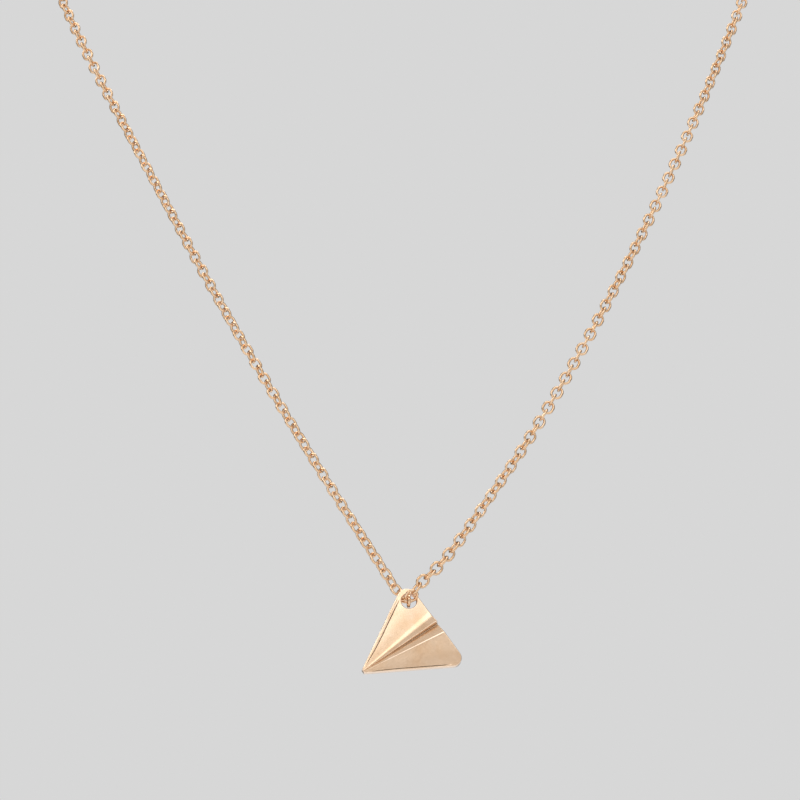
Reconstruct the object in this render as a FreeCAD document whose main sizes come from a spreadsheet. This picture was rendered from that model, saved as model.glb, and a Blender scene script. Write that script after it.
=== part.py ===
"""Fine cable-chain necklace with a folded-dart (paper plane) pendant, in millimetres.

The necklace hangs as a closed loop in the XZ plane, +Z up, seen from the front along +Y. The
origin is the top of the loop, where it is hung. Every link, ring and clasp piece is a solid of
its own. The pendant hangs on the centre link, which passes through the hole in the pendant's
upper wing tip from behind on the left to the front on the right.
"""

import FreeCAD, Part
import math
import os
import Sketcher

V = FreeCAD.Vector
Z = V(0, 0, 1)
Y = V(0, 1, 0)
X = V(1, 0, 0)

doc = FreeCAD.newDocument("paper_plane_necklace")
sizes = doc.addObject("Spreadsheet::Sheet", "sizes")

# --- driving dimensions -------------------------------------------------------------------
DIMENSIONS = {
    # cable chain
    "link_length": 1.90,
    "link_width": 1.62,
    "link_wire": 0.34,
    "link_gap": 0.04,          # play between two links in line
    "hanger_gap": 0.11,        # play where the hanger links meet the centre link
    # pendant: a folded dart, nose to tail along its own X
    "dart_length": 11.45,
    "dart_half_span": 6.60,
    "sheet": 0.75,             # thickness of the wings
    "nose_cut": 0.45,          # the point is cut back this far before it is rounded
    "fold_start": 1.12,        # where the upper wing bends up, from the centre line, at the tail
    "crest_height": 0.45,      # upper crest of the fold over the wings
    "groove_side": 0.24,       # floor of the fold, from the centre line
    "groove_depth": 0.26,      # floor of the fold under the wings
    "low_crest_side": 1.58,
    "low_crest_height": 0.24,
    "keel_half": 1.30,         # keel on the back
    "keel_height": 0.42,
    "hole_radius": 0.94,
    "hole_to_leading": 1.60,
    "hole_to_tail": 1.27,
    "tab_radius": 1.25,
    "corner_radius": 1.05,
    "nose_radius": 0.18,
    "rim_width": 0.42,         # raised hem along the upper leading edge
    "low_rim_width": 0.20,
    "rim_line": 0.10,          # width of the line scored inside each hem
    "rim_line_depth": 0.12,
    # end rings, catch ring, clasp
    "ring_radius": 1.10,
    "ring_wire": 0.50,
    "catch_radius": 1.40,
    "catch_wire": 0.60,
    "clasp_thick": 1.30,
    "claw_radius": 2.30,
    "claw_inner": 1.45,
    "claw_from_eye": 5.30,
    "eye_radius": 1.05,
    "eye_hole": 0.60,
    "mouth": 2.60,
    "trigger_thick": 0.50,
    "slot_gap": 0.05,
    "pin_radius": 0.20,
    "pin_gap": 0.03,
    "boss_wall": 0.20,         # metal round the pin in the trigger
    "slot_run": 0.30,          # how far the trigger's slot runs on into the claw's opening
    "spring_leaf": 0.12,
    "spring_flat": 0.80,       # the leaf lies flat this far along the slot
    "spring_end": 1.20,
    "spring_lift": 0.20,
    # extender chain and its drop
    "ext_length": 3.20,
    "ext_width": 2.40,
    "ext_wire": 0.50,
    "ext_gap": 0.05,
    "drop_radius": 1.30,
    "drop_length": 5.20,
    "drop_loop": 0.56,         # mean radius of the drop's loop
    "drop_wire": 0.34,
}
for row, (name, value) in enumerate(DIMENSIONS.items(), start=1):
    sizes.set(f"A{row}", name)
    sizes.set(f"B{row}", str(value))
    sizes.setAlias(f"B{row}", name)
doc.recompute()


def size(name):
    return float(getattr(sizes, name))


# --- places chosen by hand ------------------------------------------------------------------
HOLE = V(0, 0, -172.0)         # centre of the pendant's hole
YAW = 5.0                      # the pendant is turned, its left side forward
OFF_PLUMB = 4.5                # degrees by which the links hold its nose down from plumb
HANGER_OUT = V(0.45, 1.00, 0.70)   # way out of a hanger link: aside, away from the plate, up
STRAND_OUT = V(0.50, 0.70, 0.75)   # first step of a strand's route beyond its hanger link
CATCH_LOW = math.radians(75)   # how low in the claw the catch ring lies
CHAIN_NODES = 4                # nodes to a strand
SETTLE_LINKS = 9               # links over which a strand loses the hanger link's tilt
WAVER = 34.0                   # degrees that a strand turns to and fro along its length
WAVES = 6

# Strand routes from the ends of the hanger links up to the top. The left one ends at its ring,
# and the right one is led on to its ring, whose place the clasp sets.
LEFT_ROUTE = [
    V(-2.9, 1.7, -167.6), V(-7.4, 1.4, -160.4), V(-15.0, 1.2, -147.7), V(-24.5, 1.0, -131.0),
    V(-34.4, 0.8, -111.9), V(-44.7, 0.5, -92.0), V(-52.8, 0.3, -73.5), V(-55.6, 0.2, -53.0),
    V(-51.6, 0.1, -33.0), V(-41.2, 0.1, -14.8), V(-26.5, 0.0, -3.9), V(-14.0, 0.0, 0.0),
    V(-6.2, 0.0, 0.0),
]
RIGHT_ROUTE = [
    V(4.2, -1.7, -167.6), V(8.8, -1.4, -160.8), V(16.6, -1.2, -148.8), V(26.3, -1.0, -131.0),
    V(35.4, -0.8, -111.9), V(43.8, -0.5, -92.0), V(50.7, -0.3, -73.8), V(53.4, -0.2, -53.0),
    V(49.8, -0.1, -33.2), V(40.2, -0.1, -15.4), V(26.0, 0.0, -5.0), V(13.8, 0.0, -1.0),
]

parts = []


def part(obj, label):
    """Names a finished sub-part."""
    obj.Label = label
    parts.append(obj)
    return obj


def frame(x_axis, z_axis, origin):
    """A placement whose X runs along x_axis and whose Z is as near z_axis as it can be."""
    x_dir = V(x_axis).normalize()
    y_dir = z_axis.cross(x_dir).normalize()
    z_dir = x_dir.cross(y_dir)
    return FreeCAD.Placement(origin, FreeCAD.Rotation(x_dir, y_dir, z_dir, "XYZ"))


def bind(obj, **expressions):
    for prop, expression in expressions.items():
        obj.setExpression(prop.replace("__", "."), expression)
    return obj


def origin_plane(body, role):
    return next(f for f in body.Origin.OriginFeatures if f.Role == role)


def sketch_on(body, name, role, offset=None):
    """A sketch on one of the body's own origin planes, moved along its normal by an expression."""
    sketch = body.newObject("Sketcher::SketchObject", name)
    sketch.AttachmentSupport = [(origin_plane(body, role), "")]
    sketch.MapMode = "FlatFace"
    if offset:
        sketch.setExpression("AttachmentOffset.Base.z", offset)
    return sketch


def value_of(expression):
    """The number that a sheet expression gives, for a sketch's first, unsolved shape."""
    return float(sizes.evalExpression(expression))


def polygon(sketch, corners):
    """A closed outline; each corner is a pair of expressions from the sketch's origin."""
    points = [V(value_of(a), value_of(b), 0) for a, b in corners]
    count = len(points)
    first = sketch.GeometryCount
    for i in range(count):
        sketch.addGeometry(Part.LineSegment(points[i], points[(i + 1) % count]))
    for i in range(count):
        here, after = first + i, first + (i + 1) % count
        sketch.addConstraint(Sketcher.Constraint("Coincident", here, 2, after, 1))
    for i, (a, b) in enumerate(corners):
        for way, expression, value in (("X", a, points[i].x), ("Y", b, points[i].y)):
            index = sketch.addConstraint(
                Sketcher.Constraint("Distance" + way, first + i, 1, value))
            sketch.setExpression(f"Constraints[{index}]", expression)


def circle(sketch, a, b, radius):
    """A circle whose centre and radius are expressions."""
    centre = V(value_of(a), value_of(b), 0)
    geo = sketch.addGeometry(Part.Circle(centre, Z, value_of(radius)))
    for kind, args, expression in (
            ("DistanceX", (3, centre.x), a), ("DistanceY", (3, centre.y), b),
            ("Radius", (value_of(radius),), radius)):
        index = sketch.addConstraint(Sketcher.Constraint(kind, geo, *args))
        sketch.setExpression(f"Constraints[{index}]", expression)


def vertical_edges(shape, x, y):
    """Names of the straight edges along Z that stand at (x, y)."""
    names = []
    for number, edge in enumerate(shape.Edges, start=1):
        ends = [v.Point for v in edge.Vertexes]
        if len(ends) == 2 and (ends[0] - ends[1]).cross(Z).Length < 1e-6:
            if math.hypot(ends[0].x - x, ends[0].y - y) < 1e-4:
                names.append(f"Edge{number}")
    return names


def rounded(body, name, corners, radius):
    """Rounds the upright edges at the given (x, y) corners of the body's last feature."""
    doc.recompute()
    base = body.Tip
    edges = [e for x, y in corners for e in vertical_edges(base.Shape, x, y)]
    fillet = body.newObject("PartDesign::Fillet", name)
    fillet.Base = (base, edges)
    fillet.setExpression("Radius", radius)
    doc.recompute()


# --- pendant ---------------------------------------------------------------------------------
def dart_section(body, name, along):
    """The folded sheet's section across the dart. Every fold line meets the others at the nose,
    so a section's heights and widths grow with its distance from there."""
    sketch = sketch_on(body, name, "YZ_Plane", along)
    grow = f"({along}) / sizes.dart_length"
    front = [
        ("sizes.dart_half_span", "0"),
        ("sizes.fold_start", "0"),
        ("0", "sizes.crest_height"),
        ("-sizes.groove_side", "-sizes.groove_depth"),
        ("-sizes.low_crest_side", "sizes.low_crest_height"),
        ("-sizes.dart_half_span", "0"),
    ]
    back = [
        ("-sizes.dart_half_span", "0"),
        ("-sizes.groove_side - sizes.keel_half", "0"),
        ("-sizes.groove_side", "-sizes.keel_height"),
        ("-sizes.groove_side + sizes.keel_half", "0"),
        ("sizes.dart_half_span", "0"),
    ]
    polygon(sketch, [(f"({a}) * {grow}", f"({b}) * {grow}") for a, b in front]
            + [(f"({a}) * {grow}", f"({b}) * {grow} - sizes.sheet") for a, b in back])
    return sketch


def hem_line(body, name, side, inset):
    """A line scored into the front, beside a leading edge (side is 1 for the upper one)."""
    slant = "sqrt(sizes.dart_length ^ 2 + sizes.dart_half_span ^ 2)"
    start = f"({inset}) * {slant} / sizes.dart_half_span + 3 * sizes.nose_cut"
    end = "sizes.dart_length - 1.7 * sizes.tab_radius"
    sketch = sketch_on(body, name, "XY_Plane")
    rise = "sizes.dart_half_span / sizes.dart_length"

    def line_y(x, extra):
        return f"{side} * (({x}) * {rise} - ({inset} + {extra}) * {slant} / sizes.dart_length)"

    polygon(sketch, [(start, line_y(start, "0")), (end, line_y(end, "0")),
                     (end, line_y(end, "sizes.rim_line")),
                     (start, line_y(start, "sizes.rim_line"))])
    score = body.newObject("PartDesign::Pocket", name + "_cut")
    score.Profile = sketch
    score.Midplane = True
    score.setExpression("Length", "2 * sizes.rim_line_depth")
    return score


def make_pendant():
    body = doc.addObject("PartDesign::Body", "pendant")
    near = dart_section(body, "nose_section", "sizes.nose_cut")
    far = dart_section(body, "tail_section", "sizes.dart_length")
    loft = body.newObject("PartDesign::AdditiveLoft", "folded_sheet")
    loft.Profile = near
    loft.Sections = [far]
    loft.Ruled = True
    doc.recompute()
    hole = sketch_on(body, "hole_sketch", "XY_Plane")
    hole_x = "sizes.dart_length - sizes.hole_to_tail"
    slant = "sqrt(sizes.dart_length ^ 2 + sizes.dart_half_span ^ 2)"
    hole_y = (f"(({hole_x}) * sizes.dart_half_span - sizes.hole_to_leading * {slant})"
              " / sizes.dart_length")
    circle(hole, hole_x, hole_y, "sizes.hole_radius")
    bore = body.newObject("PartDesign::Pocket", "hole")
    bore.Profile = hole
    bore.Midplane = True
    bore.Length = 6
    bore.setExpression("Length", "4 * (sizes.sheet + sizes.keel_height)")
    hem_line(body, "upper_hem", 1, "sizes.rim_width")
    hem_line(body, "lower_hem", -1, "sizes.low_rim_width")
    long, half = size("dart_length"), size("dart_half_span")
    cut = size("nose_cut")
    rounded(body, "tab_round", [(long, half)], "sizes.tab_radius")
    rounded(body, "corner_round", [(long, -half)], "sizes.corner_radius")
    rounded(body, "nose_round", [(cut, half * cut / long), (cut, -half * cut / long)],
            "min(sizes.nose_radius, 0.4 * sizes.nose_cut)")
    centre = V(value_of(hole_x), value_of(hole_y), -size("sheet") / 2)
    return body, centre


def hang(body, centre):
    """Hangs the pendant with its centre of mass almost straight below the hole."""
    mass = body.Shape.CenterOfGravity - centre
    below = math.degrees(math.atan2(mass.y, mass.x))
    # own X and Y lie in the plate; own Z is its front
    upright = FreeCAD.Rotation(X, 90).multiply(FreeCAD.Rotation(Z, OFF_PLUMB - 90 - below))
    turn = FreeCAD.Rotation(Z, YAW).multiply(upright)
    body.Placement = FreeCAD.Placement(HOLE - turn.multVec(centre), turn)


# --- links and rings --------------------------------------------------------------------------
def link_tool(name, length, width, wire):
    """One oval link, its long way along X, lying in the XY plane."""
    pieces = []
    for end in (1, -1):
        bow = doc.addObject("Part::Torus", f"{name}_bow_{'a' if end > 0 else 'b'}")
        bind(bow, Radius1=f"({width} - {wire}) / 2", Radius2=f"{wire} / 2",
             Placement__Base__x=f"{end} * ({length} - {width}) / 2")
        bow.Angle3 = 180
        bow.Placement.Rotation = FreeCAD.Rotation(Z, -90 * end)
        pieces.append(bow)
    for side in (1, -1):
        bar = doc.addObject("Part::Cylinder", f"{name}_bar_{'a' if side > 0 else 'b'}")
        bind(bar, Radius=f"{wire} / 2", Height=f"{length} - {width}",
             Placement__Base__x=f"-({length} - {width}) / 2",
             Placement__Base__y=f"{side} * ({width} - {wire}) / 2")
        bar.Placement.Rotation = FreeCAD.Rotation(Y, 90)
        pieces.append(bar)
    link = doc.addObject("Part::MultiFuse", name)
    link.Shapes = pieces
    return link


def ring(name, radius, wire, place):
    """A closed round ring, with its own axis along its Z."""
    obj = doc.addObject("Part::Torus", name)
    bind(obj, Radius1=radius, Radius2=f"{wire} / 2")
    obj.Placement = place
    return part(obj, name)


def group(name, tool, places):
    """Copies of one link, each a solid of its own, as one sub-part."""
    obj = doc.addObject("Part::Feature", name)
    copies = []
    for place in places:
        copy = tool.Shape.copy()
        copy.Placement = place
        copies.append(copy)
    obj.Shape = copies[0] if len(copies) == 1 else Part.makeCompound(copies)
    return part(obj, name)


def pitch():
    return size("link_length") - 2 * size("link_wire") - size("link_gap")


def strand_places(poles, first_roll, last_roll):
    """Places of a strand's links, spaced evenly along the smooth curve that the poles give.
    Neighbours stand a quarter turn apart. The strand starts square to the hanger link, settles
    over its first links, and is twisted slowly so that its last link meets the end ring square.
    Roll 0 shows a link's face to the front."""
    curve = Part.BSplineCurve()
    spans = len(poles) - 2
    curve.buildFromPolesMultsKnots(poles, [3] + [1] * (spans - 1) + [3],
                                   list(range(spans + 1)), False, 2)
    count = round(curve.length() / pitch())
    stops = curve.discretize(Number=count + 1)
    extra = (last_roll - 90 * count) % 180
    extra = extra - 180 if extra > 90 else extra
    places = []
    for i in range(count):
        share = i / (count - 1)
        roll = (90 * (i + 1) + extra * share + first_roll * math.exp(-i / SETTLE_LINKS)
                + WAVER * math.sin(WAVES * math.pi * share) ** 2)
        along = stops[i + 1] - stops[i]
        place = frame(along, Y, (stops[i] + stops[i + 1]) / 2)
        place.Rotation = place.Rotation.multiply(FreeCAD.Rotation(X, roll))
        places.append(place)
    return places, curve.length()


def roll_of(place):
    """How far a link is rolled about its own length from facing the front."""
    plain = frame(place.Rotation.multVec(X), Y, place.Base).Rotation
    normal = plain.inverted().multVec(place.Rotation.multVec(Z))
    return math.degrees(math.atan2(-normal.y, normal.z))


def off_plate(step, way):
    """A step away from the pendant's plate, behind it to the left or before it to the right."""
    return FreeCAD.Rotation(Z, YAW).multVec(V(-way * step.x, way * step.y, step.z))


def make_strand(side, tool, hanger, route, last_roll):
    start = hanger.multVec(X * (pitch() / 2))
    route = [start + off_plate(STRAND_OUT, 1 if side == "left" else -1)] + route
    first_roll = (roll_of(hanger) + 90) % 180 - 90
    places, length = strand_places([start] + route, first_roll, last_roll)
    share = len(places) / CHAIN_NODES
    for node in range(CHAIN_NODES):
        chosen = places[round(node * share):round((node + 1) * share)]
        group(f"{side}_chain_{node + 1}", tool, chosen)
    report_radii(side, [start] + route)
    print(f"{side} strand: {len(places)} links, {length:.1f} mm, first roll {first_roll:.1f}, "
          f"from ({start.x:.2f}, {start.y:.2f}, {start.z:.2f}) "
          f"by ({route[0].x:.2f}, {route[0].y:.2f}, {route[0].z:.2f})")


def report_radii(side, poles):
    """Prints how tightly the route turns at each of its points."""
    for before, here, after in zip(poles, poles[1:], poles[2:]):
        into, out = here - before, after - here
        turn = into.getAngle(out)
        radius = 0.45 * min(into.Length, out.Length) / math.tan(max(turn, 1e-3) / 2)
        print(f"{side} ({here.x:.1f}, {here.z:.1f}) turn {math.degrees(turn):.0f} radius {radius:.0f}")


# --- clasp ----------------------------------------------------------------------------------
def disc(name, x, y, radius, high="sizes.clasp_thick"):
    obj = doc.addObject("Part::Cylinder", name)
    return bind(obj, Radius=radius, Height=high, Placement__Base__x=x, Placement__Base__y=y,
                Placement__Base__z=f"-({high}) / 2")


def block(name, x, y, length, width, high="sizes.clasp_thick"):
    obj = doc.addObject("Part::Box", name)
    return bind(obj, Length=length, Width=width, Height=high, Placement__Base__x=x,
                Placement__Base__y=y, Placement__Base__z=f"-({high}) / 2")


PIVOT_X = "sizes.claw_from_eye - sizes.claw_radius"
PIVOT_Y = "0.5 * sizes.eye_radius"
FLOOR_Y = "-0.35 * sizes.eye_radius"      # floor of the trigger's slot
SLOT_X = "1.35 * sizes.eye_radius"        # tail end of the slot
MOUTH_END = "sizes.claw_from_eye + 0.7 * sizes.claw_inner"


def make_clasp(place):
    """The claw lies along its own X, its tail eye at the origin and its mouth towards +Y."""
    blank = doc.addObject("Part::MultiFuse", "claw_blank")
    blank.Shapes = [
        disc("claw_outer", "sizes.claw_from_eye", "0", "sizes.claw_radius"),
        disc("eye_outer", "0", "0", "sizes.eye_radius"),
        block("shank", "0", "-sizes.eye_radius", "sizes.claw_from_eye - sizes.claw_inner",
              "2 * sizes.eye_radius"),
    ]
    through = "2 * sizes.clasp_thick"
    cuts = doc.addObject("Part::MultiFuse", "claw_cuts")
    cuts.Shapes = [
        disc("claw_opening", "sizes.claw_from_eye", "0", "sizes.claw_inner", through),
        disc("eye_bore", "0", "0", "sizes.eye_hole", through),
        block("mouth_cut", f"{MOUTH_END} - sizes.mouth", "0.35 * sizes.eye_radius",
              "sizes.mouth", "2 * sizes.claw_radius", through),
        block("trigger_slot", SLOT_X, FLOOR_Y,
              f"sizes.claw_from_eye - sizes.claw_inner + sizes.slot_run - {SLOT_X}",
              "2 * sizes.claw_radius", "sizes.trigger_thick + 2 * sizes.slot_gap"),
        disc("pin_bore", PIVOT_X, PIVOT_Y, "sizes.pin_radius", through),
    ]
    body = doc.addObject("Part::Cut", "clasp_body")
    body.Base = blank
    body.Tool = cuts
    body.Placement = place
    part(body, "clasp_body")

    pin = doc.addObject("Part::Cylinder", "clasp_pin")
    bind(pin, Radius="sizes.pin_radius", Height="sizes.clasp_thick")
    pivot = V(value_of(PIVOT_X), value_of(PIVOT_Y), 0)
    pin.Placement = place.multiply(
        FreeCAD.Placement(pivot - V(0, 0, size("clasp_thick") / 2), FreeCAD.Rotation()))
    part(pin, "clasp_pin")
    make_trigger(place.multiply(FreeCAD.Placement(pivot, FreeCAD.Rotation())))
    corner = V(value_of(SLOT_X) + size("slot_gap"), value_of(FLOOR_Y) + size("slot_gap"), 0)
    make_spring(place.multiply(FreeCAD.Placement(corner, FreeCAD.Rotation())))


def flat_body(name, corners, thick, place):
    """A flat piece cut to an outline, centred on its own XY plane."""
    body = doc.addObject("PartDesign::Body", name)
    sketch = sketch_on(body, name + "_outline", "XY_Plane")
    polygon(sketch, corners)
    pad = body.newObject("PartDesign::Pad", name + "_pad")
    pad.Profile = sketch
    pad.Midplane = True
    pad.setExpression("Length", thick)
    doc.recompute()
    body.Placement = place
    return body


def make_trigger(place):
    """The spring-loaded arm that closes the mouth; it turns on the pin, its own origin."""
    boss = "(sizes.pin_radius + sizes.pin_gap + sizes.boss_wall)"
    reach = f"({MOUTH_END} - ({PIVOT_X}) + 0.08 * sizes.claw_inner)"
    body = flat_body("clasp_trigger", [
        (f"-{boss}", f"-0.9 * {boss}"), (f"0.8 * {boss}", f"-{boss}"),
        (reach, "-0.18 * sizes.eye_radius"), (reach, "0.30 * sizes.eye_radius"),
        (boss, f"0.9 * {boss}"), ("-0.10 * sizes.eye_radius", "1.45 * sizes.eye_radius"),
        ("-0.70 * sizes.eye_radius", "1.25 * sizes.eye_radius"), (f"-{boss}", f"0.6 * {boss}"),
    ], "sizes.trigger_thick", place)
    bore = sketch_on(body, "trigger_bore_sketch", "XY_Plane")
    circle(bore, "0", "0", "sizes.pin_radius + sizes.pin_gap")
    cut = body.newObject("PartDesign::Pocket", "trigger_bore")
    cut.Profile = bore
    cut.Midplane = True
    cut.setExpression("Length", "2 * sizes.trigger_thick")
    part(body, "clasp_trigger")


def make_spring(place):
    """A bent leaf on the slot's floor that pushes the trigger's heel."""
    body = flat_body("clasp_spring", [
        ("0", "0"), ("sizes.spring_flat", "0"), ("sizes.spring_end", "sizes.spring_lift"),
        ("sizes.spring_end - 0.33 * sizes.spring_leaf", "sizes.spring_lift + sizes.spring_leaf"),
        ("sizes.spring_flat - 0.33 * sizes.spring_leaf", "sizes.spring_leaf"),
        ("0", "sizes.spring_leaf"),
    ], "0.8 * sizes.trigger_thick", place)
    part(body, "clasp_spring")


# --- extender ---------------------------------------------------------------------------------
EXTENDER = (("extender_upper", 5), ("extender_middle", 7), ("extender_lower", 6))


def make_extender(tool, wire_at):
    """Larger links that hang from the bottom of the right end ring, then a ring and a drop. The
    first link is seen edge-on from the front, the next face-on, and so on."""
    step = size("ext_length") - 2 * size("ext_wire") - size("ext_gap")
    reach = (size("ext_length") - size("ext_wire")) / 2
    hook = (size("ring_wire") + size("ext_wire")) / 2 + size("ext_gap")
    centre = wire_at + Z * (hook - reach)
    number = 0
    for name, count in EXTENDER:
        places = []
        for _ in range(count):
            face = Y if number % 2 else X
            places.append(frame(Z, face, centre - Z * (step * number)))
            number += 1
        group(name, tool, places)
        top = places[0].Base.z + reach - size("ext_wire") - size("ext_gap")
        print(f"{name} hinge z {top:.3f}")
    last = centre - Z * (step * (number - 1))
    crown = last - Z * reach
    overlap = size("ext_wire") / 2 + size("ring_wire") / 2 + size("ext_gap")
    middle = crown + Z * (overlap - size("ring_radius"))
    flat = Y if number % 2 else X
    ring("drop_ring", "sizes.ring_radius", "sizes.ring_wire", frame(Z, flat, middle))
    print(f"drop_ring hinge z {crown.z:.3f}")
    bottom_wire = middle - Z * size("ring_radius")
    play = size("drop_loop") - (size("drop_wire") + size("ring_wire")) / 2 - size("pin_gap")
    make_drop(bottom_wire - Z * play, flat)


def make_drop(loop_at, ring_axis):
    """A teardrop: a ball and the cone that touches it, under a small loop."""
    sink = "(sizes.drop_length - sizes.drop_radius - sizes.drop_loop - sizes.drop_wire / 2)"
    tip = "(sizes.drop_wire * 0.7)"
    slope = f"asin((sizes.drop_radius - {tip}) / ({sink} - sizes.drop_loop))"
    loop = doc.addObject("Part::Torus", "drop_loop")
    bind(loop, Radius1="sizes.drop_loop", Radius2="sizes.drop_wire / 2")
    loop.Placement.Rotation = FreeCAD.Rotation(Y, 90)
    ball = doc.addObject("Part::Sphere", "drop_ball")
    bind(ball, Radius="sizes.drop_radius", Placement__Base__z=f"-{sink}")
    cone = doc.addObject("Part::Cone", "drop_cone")
    bind(cone, Radius1=f"sizes.drop_radius * cos({slope})", Radius2=tip,
         Height=f"{sink} - sizes.drop_loop - sizes.drop_radius * sin({slope})",
         Placement__Base__z=f"-{sink} + sizes.drop_radius * sin({slope})")
    drop = doc.addObject("Part::MultiFuse", "end_drop")
    drop.Shapes = [loop, cone, ball]
    # the loop stands square to the ring it hangs on
    drop.Placement = frame(ring_axis.cross(Z), Z, loop_at)
    part(drop, "end_drop")


# --- assembly ---------------------------------------------------------------------------------
pendant, hole_centre = make_pendant()
link = link_tool("chain_link", "sizes.link_length", "sizes.link_width", "sizes.link_wire")
ext_link = link_tool("extender_link", "sizes.ext_length", "sizes.ext_width", "sizes.ext_wire")
doc.recompute()
hang(part(pendant, "pendant"), hole_centre)

# The centre link goes through the hole, standing up, and carries the pendant on its upper bar.
across = FreeCAD.Rotation(Z, YAW).multVec(X)
through = FreeCAD.Rotation(Z, YAW).multVec(Y)
play = size("hole_radius") - size("link_width") / 2
centre_at = HOLE + Z * (play - size("pin_gap"))
group("centre_link", link, [frame(through, across, centre_at)])

# A hanger link leaves each end of it: behind the plate to the left, before it to the right.
crown_reach = (size("link_length") - size("link_wire")) / 2
crown_in = crown_reach - size("link_wire") - size("hanger_gap")
hangers = {}
for side, way in (("left", 1), ("right", -1)):
    out = off_plate(HANGER_OUT, way).normalize()
    crown = centre_at + through * (way * crown_in)
    middle = crown + out * crown_reach
    hangers[side] = frame(out, out.cross(across), middle)
    group(f"{side}_hanger_link", link, [hangers[side]])

# The left strand ends in its ring; the ring leads to the clasp and the catch ring to the right.
left_end = LEFT_ROUTE[-1]
inset = (size("ring_wire") + size("link_gap")) / 2
left_ring_at = left_end + X * (size("ring_radius") - inset)
ring("left_end_ring", "sizes.ring_radius", "sizes.ring_wire", frame(X, Z, left_ring_at))
eye_at = left_ring_at + X * size("ring_radius")
clasp_place = FreeCAD.Placement(eye_at, FreeCAD.Rotation(X, 90))
make_clasp(clasp_place)
hold = size("claw_inner") - size("catch_wire") / 2 - 2.4 * size("slot_gap")
catch_wire_at = eye_at + X * size("claw_from_eye") + V(
    hold * math.cos(CATCH_LOW), 0, -hold * math.sin(CATCH_LOW))
catch_at = catch_wire_at + X * size("catch_radius")
ring("catch_ring", "sizes.catch_radius", "sizes.catch_wire", frame(X, Z, catch_at))
overlap = (size("catch_wire") + size("ring_wire")) / 2 + size("slot_gap")
right_ring_at = catch_at + X * (size("catch_radius") - overlap + size("ring_radius"))
ring("right_end_ring", "sizes.ring_radius", "sizes.ring_wire", frame(X, Y, right_ring_at))
right_end = right_ring_at + X * (size("ring_radius") - inset)

make_strand("left", link, hangers["left"], LEFT_ROUTE, 0)
make_strand("right", link, hangers["right"], RIGHT_ROUTE + [right_end], 90)
make_extender(ext_link, right_ring_at - Z * size("ring_radius"))
print("right end", right_end, "right ring", right_ring_at)
print("centre link", centre_at, "pivot", clasp_place.multVec(V(value_of(PIVOT_X), value_of(PIVOT_Y), 0)))

# --- checks and files -------------------------------------------------------------------------
doc.recompute()
for obj in doc.Objects:
    if "Invalid" in obj.State or "Error" in obj.State:
        raise RuntimeError(f"{obj.Label} failed: {obj.State}")
os.makedirs("parts", exist_ok=True)
for obj in parts:
    shape = obj.Shape
    if shape.isNull() or not shape.isValid() or not shape.Solids:
        raise RuntimeError(f"{obj.Label} has no sound shape")
    shape.exportStep(f"parts/{obj.Label}.step")
print(f"{len(parts)} sub-parts")
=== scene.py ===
"""Fine cable-chain necklace with a folded-dart pendant, built round its CAD frame, in metres.

The chain strands are made by Geometry Nodes along their own routes, the pendant is pressed anew
from its sizes, the clasp is finished from its CAD shape, and the rings and the extender take
their metal directly.
"""

import math

import bmesh
import bpy
from bpy.props import (FloatProperty, FloatVectorProperty, IntProperty, PointerProperty)
from bpy.types import Operator, Panel, PropertyGroup
from mathutils import Matrix, Vector
from mathutils.geometry import delaunay_2d_cdt


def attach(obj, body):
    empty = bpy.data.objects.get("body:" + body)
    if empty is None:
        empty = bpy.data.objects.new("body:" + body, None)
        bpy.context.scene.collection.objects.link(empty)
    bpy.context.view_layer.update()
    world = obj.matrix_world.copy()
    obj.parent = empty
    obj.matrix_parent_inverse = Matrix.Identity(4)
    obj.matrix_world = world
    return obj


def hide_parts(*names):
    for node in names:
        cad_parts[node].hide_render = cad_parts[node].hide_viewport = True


bl_info = {
    "name": "Dart pendant necklace",
    "version": (1, 0, 0),
    "blender": (4, 5, 0),
    "location": "View3D > Sidebar > Necklace",
    "description": "Builds a fine chain necklace with a folded-dart pendant, piece by piece",
    "category": "Add Mesh",
}

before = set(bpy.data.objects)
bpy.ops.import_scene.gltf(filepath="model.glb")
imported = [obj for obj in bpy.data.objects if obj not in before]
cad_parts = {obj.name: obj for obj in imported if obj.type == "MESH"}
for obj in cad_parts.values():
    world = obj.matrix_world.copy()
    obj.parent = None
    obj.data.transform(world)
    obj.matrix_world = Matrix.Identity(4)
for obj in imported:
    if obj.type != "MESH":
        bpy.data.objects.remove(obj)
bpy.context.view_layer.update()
MM = 0.001


def mm(*values):
    return Vector([v * MM for v in values])


# Strand routes in millimetres, from the hanger link up to the end ring.
LEFT_ROUTE = [
    (-0.59, 1.34, -171.16), (-1.15, 1.99, -170.41), (-2.9, 1.7, -167.6), (-7.4, 1.4, -160.4),
    (-15.0, 1.2, -147.7), (-24.5, 1.0, -131.0), (-34.4, 0.8, -111.9), (-44.7, 0.5, -92.0),
    (-52.8, 0.3, -73.5), (-55.6, 0.2, -53.0), (-51.6, 0.1, -33.0), (-41.2, 0.1, -14.8),
    (-26.5, 0.0, -3.9), (-14.0, 0.0, 0.0), (-6.2, 0.0, 0.0),
]
RIGHT_ROUTE = [
    (0.59, -1.34, -171.16), (1.15, -1.99, -170.41), (4.2, -1.7, -167.6), (8.8, -1.4, -160.8),
    (16.6, -1.2, -148.8), (26.3, -1.0, -131.0), (35.4, -0.8, -111.9), (43.8, -0.5, -92.0),
    (50.7, -0.3, -73.8), (53.4, -0.2, -53.0), (49.8, -0.1, -33.2), (40.2, -0.1, -15.4),
    (26.0, 0.0, -5.0), (13.8, 0.0, -1.0), (5.427, 0.0, -0.995),
]
CHAIN_LINE_POINTS = 24          # points to a span of a strand's smooth line
LEFT_LINKS, RIGHT_LINKS = 179, 177
LEFT_LENGTH, RIGHT_LENGTH = 0.2112, 0.2093
LEFT_EXTRA, RIGHT_EXTRA = math.pi / 2, 0.0     # twist that sets the last link square to its ring
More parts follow.
